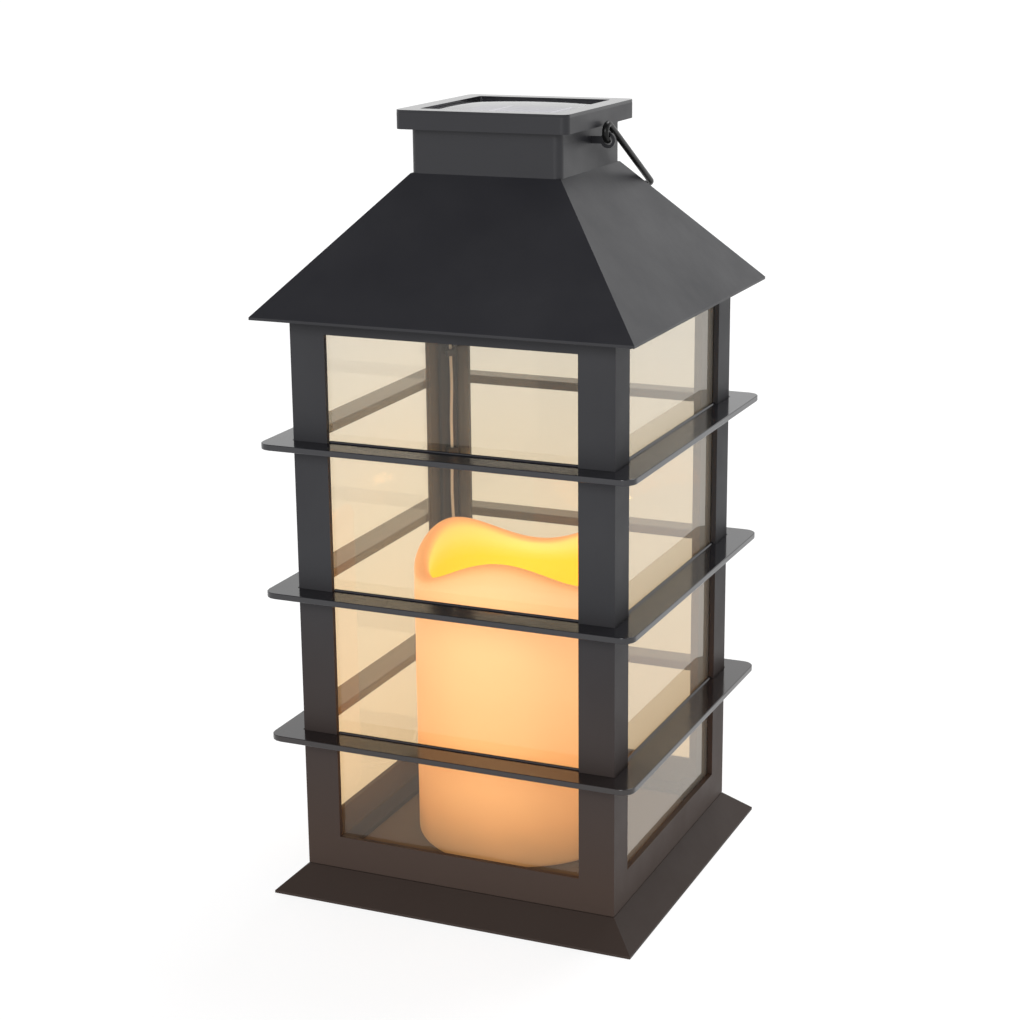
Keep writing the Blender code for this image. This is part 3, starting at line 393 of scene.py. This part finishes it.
def piece(name, shape, surface, body, slot, *replaced):
    """Make an object from a bmesh and let it ride on a body."""
    bmesh.ops.recalc_face_normals(shape, faces=shape.faces)
    mesh = bpy.data.meshes.new(name)
    shape.to_mesh(mesh)
    shape.free()
    mesh.shade_smooth()
    mesh.materials.append(surface)
    made = bpy.data.objects.new(name, mesh)
    bpy.context.scene.collection.objects.link(made)
    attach(made, body)
    if replaced:
        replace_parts(made, *replaced)
    return made


SHARP_ANGLE = math.radians(32.0)


def dress(node, surface, bevel=0.0, dissolve=True):
    """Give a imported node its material, round its edges and smooth its shading."""
    made = nodes[node]
    made.data.materials.clear()
    made.data.materials.append(surface)
    made.data.shade_smooth()
    weld = made.modifiers.new("weld", "WELD")
    weld.merge_threshold = 0.002 * MM
    if dissolve:
        flatten = made.modifiers.new("flatten", "DECIMATE")
        flatten.decimate_type = "DISSOLVE"
        flatten.angle_limit = math.radians(0.5)
    if bevel:
        rounding = made.modifiers.new("rounding", "BEVEL")
        rounding.width = bevel
        rounding.segments = 3
        rounding.limit_method = "ANGLE"
        rounding.angle_limit = SHARP_ANGLE
        rounding.use_clamp_overlap = True
        rounding.miter_outer = "MITER_ARC"
    else:
        split = made.modifiers.new("split", "EDGE_SPLIT")
        split.split_angle = SHARP_ANGLE
    weights = made.modifiers.new("weights", "WEIGHTED_NORMAL")
    weights.keep_sharp = True
    return made


# ---------------------------------------------------------------- pieces

def candle(surface):
    """Pillar candle with a wavy rounded rim and a deep well, finely subdivided."""
    low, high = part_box("candle_shell")
    outer = (high.x - low.x) / 2
    bottom = low.z
    wave = 6.0 * MM
    crest = math.radians(-79.4)
    rim = high.z - wave
    lip = 3.0 * MM
    well = outer - 2 * lip
    well_floor = 84.0 * MM
    well_corner = 8.0 * MM
    foot = 2.4 * MM
    bore = 34.6 * MM
    bore_top = 80.0 * MM
    lamp_hole = 5.0 * MM
    wave_start = 104.0 * MM
    dent_depth = 0.12 * MM
    profile = [(bore, bottom, 0.0), (outer - foot, bottom, 0.0)]
    for step in range(1, 6):
        angle = math.radians(-90 + 18 * step)
        profile.append((outer - foot + foot * math.cos(angle),
                        bottom + foot + foot * math.sin(angle), 0.0))
    for step in range(1, 30):
        profile.append((outer, bottom + foot + (rim - lip - bottom - foot) * step / 30, 0.0))
    for step in range(13):
        angle = math.radians(15 * step)
        inside = max(0.0, (step - 9) / 12)
        profile.append((outer - lip + lip * math.cos(angle), rim - lip + lip * math.sin(angle), inside))
    for step in range(1, 11):
        part = step / 10
        height = (rim - lip) * (1 - part) + (well_floor + well_corner) * part
        profile.append((well, height, min(1.0, 0.25 + part * 3.0)))
    for step in range(1, 6):
        angle = math.radians(18 * step)
        profile.append((well - well_corner + well_corner * math.cos(angle),
                        well_floor + well_corner - well_corner * math.sin(angle), 1.0))
    profile += [(16.0 * MM, well_floor, 1.0), (lamp_hole, well_floor, 1.0),
                (lamp_hole, bore_top, 1.0), (bore, bore_top, 0.0)]
    sides = 144
    shape = bmesh.new()
    inside_layer = shape.verts.layers.float.new("inside")
    rim_layer = shape.verts.layers.float.new("rim")
    rings = []
    for side in range(sides):
        angle = math.tau * side / sides
        sway = wave * math.cos(3 * (angle - crest))
        ring = []
        for radius, height, inside in profile:
            share = max(0.0, (height - wave_start) / (rim - wave_start))
            dent = dent_depth * abs(math.sin(5 * angle + 90 * height)) * (radius > well)
            vertex = shape.verts.new(((radius - dent) * math.cos(angle),
                                      (radius - dent) * math.sin(angle),
                                      height + sway * min(1.0, share) ** 1.3))
            vertex[inside_layer] = inside
            vertex[rim_layer] = min(1.0, max(0.0, (height - rim) / lip * 0.7 + 1.1))
            ring.append(vertex)
        rings.append(ring)
    count = len(profile)
    for side in range(sides):
        this, after = rings[side], rings[(side + 1) % sides]
        for row in range(count):
            shape.faces.new((this[row], after[row], after[(row + 1) % count], this[(row + 1) % count]))
    return piece("candle", shape, surface, "housing", "candle_wax", "candle_shell")


def bail(surface):
    """Wire bail at its rest angle, with an eye at each end and its arms off the tops of the eyes."""
    reach, radius, half, bend = 54.5 * MM, 1.25 * MM, 36.4 * MM, 4.0 * MM
    eye = 2.9 * MM
    mouth = math.radians(12)
    hinge = Vector(next(joint["pos_m"] for joint in frame["joints"] if joint["name"] == "bail_hinge"))
    right = []
    for step in range(49):
        angle = mouth - (math.radians(270) + mouth) * step / 48
        right.append(Vector((half, eye * math.cos(angle), eye * math.sin(angle))))
    for step in range(13):
        angle = math.radians(90 * step / 12)
        across = half - bend + bend * math.cos(angle)
        along = reach - bend + bend * math.sin(angle)
        right.append(Vector((across, along, eye)))
    route = right + [Vector((-point.x, point.y, point.z)) for point in reversed(right)]
    turn = Matrix.Translation(hinge) @ Matrix.Rotation(math.radians(-30), 4, "X")
    curve = bpy.data.curves.new("bail", "CURVE")
    curve.dimensions = "3D"
    curve.bevel_depth = radius
    curve.bevel_resolution = 6
    curve.use_fill_caps = True
    spline = curve.splines.new("POLY")
    spline.points.add(len(route) - 1)
    for point, place_on in zip(spline.points, route):
        point.co = (*(turn @ place_on), 1.0)
    curve.materials.append(surface)
    made = bpy.data.objects.new("bail", curve)
    bpy.context.scene.collection.objects.link(made)
    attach(made, "bail")
    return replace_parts(made, "bail_handle")


# ---------------------------------------------------------------- studio

FLOOR_GLOW = [(0.25, (0.80,) * 3), (1.0, (0.90,) * 3)]
FLOOR_GLOW_REACH = 3.0


def studio():
    """Pale floor, white surroundings with a dim ceiling, and soft lights."""
    scene = bpy.context.scene
    scene.view_settings.view_transform = "Standard"
    world = bpy.data.worlds.new("studio")
    world.use_nodes = True
    scene.world = world
    tree = world.node_tree
    direction = tree.nodes.new("ShaderNodeTexCoord").outputs["Generated"]
    height = axis_value(tree, direction, "Z")
    sky = ramp(tree, height, [(0.0, (1.0, 1.0, 1.0)), (0.50, (1.0, 1.0, 1.0)),
                              (0.74, (0.14, 0.14, 0.15)), (1.0, (0.08, 0.08, 0.09))])
    tree.links.new(sky, tree.nodes["Background"].inputs["Color"])
    tree.nodes["Background"].inputs["Strength"].default_value = 1.0

    mesh = bpy.data.meshes.new("floor")
    size = 30.0
    mesh.from_pydata([(-size, -size, 0), (size, -size, 0), (size, size, 0), (-size, size, 0)], [],
                     [(0, 1, 2, 3)])
    floor = bpy.data.objects.new("floor", mesh)
    scene.collection.objects.link(floor)
    made, tree, shader = new_material("floor_white")
    vector = place(tree)
    tone = ramp(tree, noise(tree, vector, 3.0, 3.0), [(0.3, (0.24,) * 3), (0.7, (0.26,) * 3)])
    tree.links.new(tone, shader.inputs["Base Color"])
    shader.inputs["Roughness"].default_value = 0.7
    shader.inputs["Specular IOR Level"].default_value = 0.2
    distance = tree.nodes.new("ShaderNodeVectorMath")
    distance.operation = "LENGTH"
    tree.links.new(vector, distance.inputs[0])
    glow = ramp(tree, remap(tree, distance.outputs["Value"], 0.0, FLOOR_GLOW_REACH), FLOOR_GLOW, "EASE")
    tree.links.new(glow, shader.inputs["Emission Color"])
    shader.inputs["Emission Strength"].default_value = 1.0
    mesh.materials.append(made)

    area_light("ceiling_box", (0.3, 1.0, 1.9), (0.0, 0.0, 0.15), 1.2, 26.0)
    area_light("front_fill", (0.15, -1.7, 0.9), (0.0, 0.0, 0.12), 0.7, 15.0)


def area_light(name, location, target, size, energy):
    """A round white area light, aimed at a target."""
    data = bpy.data.lights.new(name, "AREA")
    data.shape = "DISK"
    data.size = size
    data.energy = energy
    made = bpy.data.objects.new(name, data)
    bpy.context.scene.collection.objects.link(made)
    made.location = location
    aim = Vector(target) - Vector(location)
    made.rotation_euler = aim.to_track_quat("-Z", "Y").to_euler()


def candle_light():
    """Warm light inside the candle's well."""
    data = bpy.data.lights.new("candle_glow", "POINT")
    data.energy = 0.04
    data.color = (1.0, 0.62, 0.25)
    data.shadow_soft_size = 0.006
    made = bpy.data.objects.new("candle_glow", data)
    bpy.context.scene.collection.objects.link(made)
    made.location = (0.0, 0.0, 0.112)


def camera():
    """The view of the lantern from front right, a little above it."""
    data = bpy.data.cameras.new("camera")
    data.sensor_width = 36.0
    data.lens = 77.47
    data.clip_start = 0.01
    made = bpy.data.objects.new("camera", data)
    bpy.context.scene.collection.objects.link(made)
    turn = Matrix.Rotation(math.radians(23.62), 4, "Z")
    tilt = Matrix.Rotation(math.radians(90.0 - 15.63), 4, "X")
    roll = Matrix.Rotation(math.radians(-0.59), 4, "Z")
    made.matrix_world = Matrix.Translation((0.3266, -0.7568, 0.3742)) @ turn @ tilt @ roll
    bpy.context.scene.camera = made


METAL = ("battery_contact", "battery_spring", "switch_body", "lamp_leg")

# How much light each pane lets through, and its share of haze. The back and right panes let less through:
# painted shade on copies of one sheet.
PANES = {"front": (0.99, 0.018), "left": (0.99, 0.07), "back": (0.93, 0.04), "right": (0.945, 0.10)}


def dress_all():
    """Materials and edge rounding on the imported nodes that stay."""
    housing = housing_plastic("housing_plastic", tone=0.9)
    frame_plastic = housing_plastic("frame_plastic", (0.46, 0.56), 0.15, 1.9)
    louvre = housing_plastic("louvre_plastic", (0.10, 0.18), 0.62, 0.75, 0.02)
    zinc = zinc_plate()
    rubber = moulded_plastic("rubber_seal", (0.010, 0.010, 0.010), (0.018, 0.018, 0.018), (0.6, 0.8), 0.2)
    ivory = moulded_plastic("ivory_plastic", (0.62, 0.58, 0.48), (0.72, 0.68, 0.58))
    board = moulded_plastic("board_mask", (0.02, 0.11, 0.04), (0.03, 0.16, 0.06), (0.3, 0.4))
    sleeve = moulded_plastic("cell_sleeve", (0.04, 0.20, 0.08), (0.06, 0.28, 0.11), (0.22, 0.3))
    jacket = moulded_plastic("lead_jacket", (0.50, 0.47, 0.42), (0.62, 0.59, 0.53))
    knob = moulded_plastic("switch_plastic", (0.55, 0.55, 0.52), (0.66, 0.66, 0.63))
    dress("base_tray", tray_plastic(), 0.35 * MM)
    dress("body_frame", frame_plastic, 0.4 * MM)
    dress("roof_shell", housing, 0.35 * MM)
    dress("cap_bezel", cap_plastic(), 0.35 * MM)
    dress("solar_cell", cell_silicon())
    dress("panel_cover", cover_resin(), 0.25 * MM, dissolve=False)
    dress("led_lamp", lamp_lens())
    for node in nodes:
        if node.startswith("louvre_ring"):
            dress(node, louvre, 0.45 * MM)
        elif node.startswith("window_pane"):
            side = node.removeprefix("window_pane_")
            dress(node, pane_clear("pane_" + side, *PANES[side]))
        elif node.startswith(("corner_retainer", "lead_clip", "module_", "battery_door")):
            if "screw" not in node:
                dress(node, housing, 0.25 * MM)
        elif node in ("solar_board", "circuit_board"):
            dress(node, board)
        elif node == "battery_cell":
            dress(node, sleeve)
        elif node == "panel_gasket":
            dress(node, rubber)
        elif node == "lamp_post":
            dress(node, ivory)
        elif node == "solar_lead":
            dress(node, jacket)
        elif node == "switch_slider":
            dress(node, knob, 0.2 * MM)
        if "screw" in node or node.startswith(METAL):
            dress(node, zinc)


dress_all()
candle(candle_wax())
bail(bail_coating())
candle_light()
studio()
camera()
